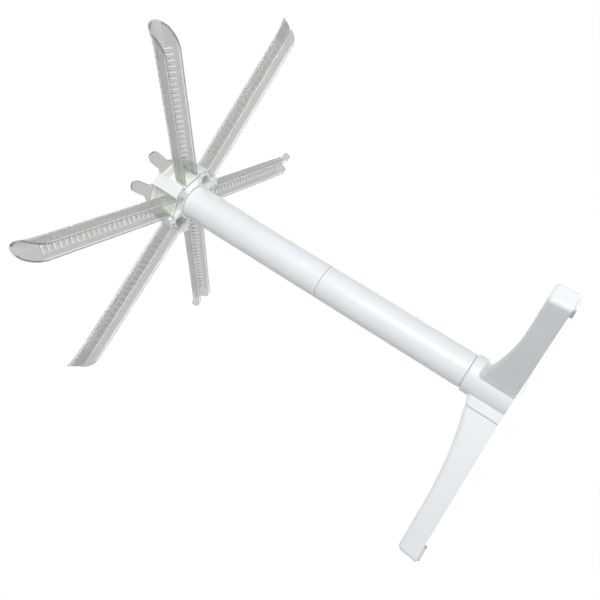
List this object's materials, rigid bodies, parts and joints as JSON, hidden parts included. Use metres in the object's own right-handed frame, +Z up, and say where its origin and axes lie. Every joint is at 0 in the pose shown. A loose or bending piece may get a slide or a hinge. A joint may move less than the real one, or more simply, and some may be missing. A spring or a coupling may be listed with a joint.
{
  "type": "pasta drying rack",
  "caption": "Knock-down pasta drying rack: white push-together column on a spreading leg base, with clear ribbed arms that lift out of a slotted hub at the top",
  "frame": {"origin": "on the column's axis, on the plane that the foot pads stand on", "axes": "+Z runs up the column; +X points along arm_1, and -X along leg_2"},
  "size_m": [0.422, 0.3686, 0.4218],
  "materials": {
    "white_plastic": "satin moulded white plastic",
    "clear_plastic": "clear moulded plastic, faint grey tint",
    "pad_rubber": "pale soft rubber"
  },
  "bodies": {
    "base": {"base_hub": "white_plastic"},
    "leg_body_1": {"leg_1": "white_plastic", "foot_pad_1": "pad_rubber"},
    "leg_body_2": {"leg_2": "white_plastic", "foot_pad_2": "pad_rubber"},
    "leg_body_3": {"leg_3": "white_plastic", "foot_pad_3": "pad_rubber"},
    "column_lower": {"lower_tube": "white_plastic"},
    "column_upper": {"upper_tube": "white_plastic", "arm_hub": "white_plastic"},
    "arm_body_1": {"arm_1": "clear_plastic"},
    "arm_body_2": {"arm_2": "clear_plastic"},
    "arm_body_3": {"arm_3": "clear_plastic"},
    "arm_body_4": {"arm_4": "clear_plastic"},
    "arm_body_5": {"arm_5": "clear_plastic"},
    "arm_body_6": {"arm_6": "clear_plastic"}
  },
  "joints": [
    {"name": "leg_1_pull", "type": "slide", "parent": "base", "child": "leg_body_1", "axis": [0.5, 0.866, 0], "range_m": [0, 0.02]},
    {"name": "leg_2_pull", "type": "slide", "parent": "base", "child": "leg_body_2", "axis": [-1, 0, 0], "range_m": [0, 0.02]},
    {"name": "leg_3_pull", "type": "slide", "parent": "base", "child": "leg_body_3", "axis": [0.5, -0.866, 0], "range_m": [0, 0.02]},
    {"name": "lower_tube_pull", "type": "slide", "parent": "base", "child": "column_lower", "axis": [0, 0, 1], "range_m": [0, 0.022]},
    {"name": "upper_tube_pull", "type": "slide", "parent": "column_lower", "child": "column_upper", "axis": [0, 0, 1], "range_m": [0, 0.022]},
    {"name": "arm_1_lift", "type": "slide", "parent": "column_upper", "child": "arm_body_1", "axis": [0, 0, 1], "range_m": [0, 0.026]},
    {"name": "arm_2_lift", "type": "slide", "parent": "column_upper", "child": "arm_body_2", "axis": [0, 0, 1], "range_m": [0, 0.026]},
    {"name": "arm_3_lift", "type": "slide", "parent": "column_upper", "child": "arm_body_3", "axis": [0, 0, 1], "range_m": [0, 0.026]},
    {"name": "arm_4_lift", "type": "slide", "parent": "column_upper", "child": "arm_body_4", "axis": [0, 0, 1], "range_m": [0, 0.026]},
    {"name": "arm_5_lift", "type": "slide", "parent": "column_upper", "child": "arm_body_5", "axis": [0, 0, 1], "range_m": [0, 0.026]},
    {"name": "arm_6_lift", "type": "slide", "parent": "column_upper", "child": "arm_body_6", "axis": [0, 0, 1], "range_m": [0, 0.026]}
  ]
}
